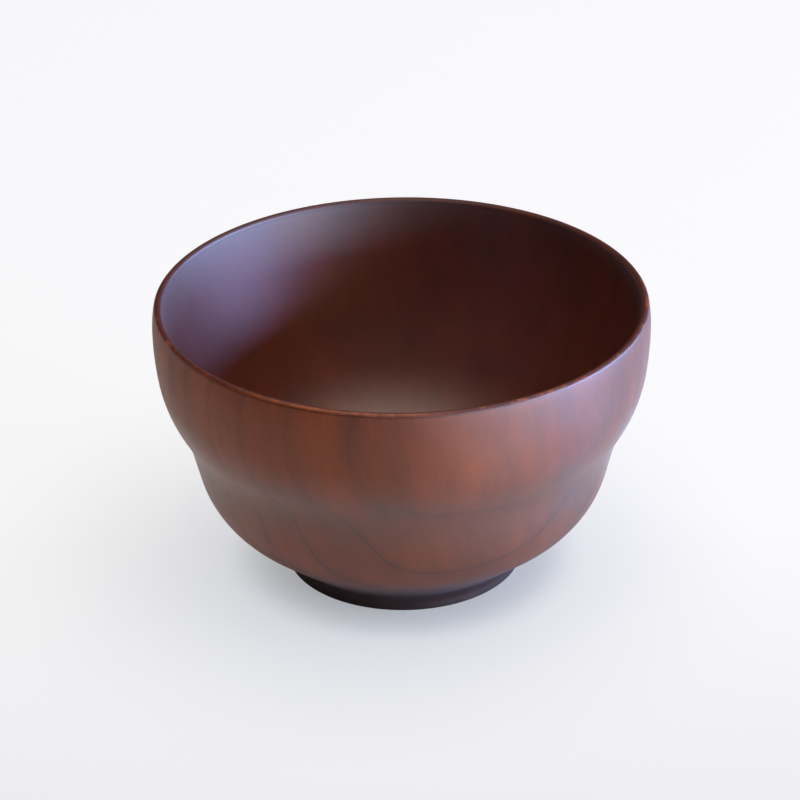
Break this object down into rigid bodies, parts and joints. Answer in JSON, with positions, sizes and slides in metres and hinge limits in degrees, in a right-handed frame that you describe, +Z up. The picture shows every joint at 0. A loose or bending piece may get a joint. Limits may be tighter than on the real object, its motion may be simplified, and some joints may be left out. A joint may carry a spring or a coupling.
{
  "type": "soup bowl",
  "caption": "Lathe-turned wooden soup bowl with a waisted side, thin rounded lip and hollow foot ring, finished in dark reddish-brown wiped lacquer.",
  "frame": {"origin": "centre of the foot ring's resting face, on the turning axis", "axes": "+Z up along the turning axis, out of the bowl's mouth; the bowl is round, so +X and +Y are any two level directions square to each other"},
  "size_m": [0.12, 0.12, 0.07],
  "materials": {
    "lacquered_wood": "close-grained wood under thin wiped lacquer, satin"
  },
  "bodies": {
    "root": {"bowl": "lacquered_wood"}
  },
  "joints": []
}
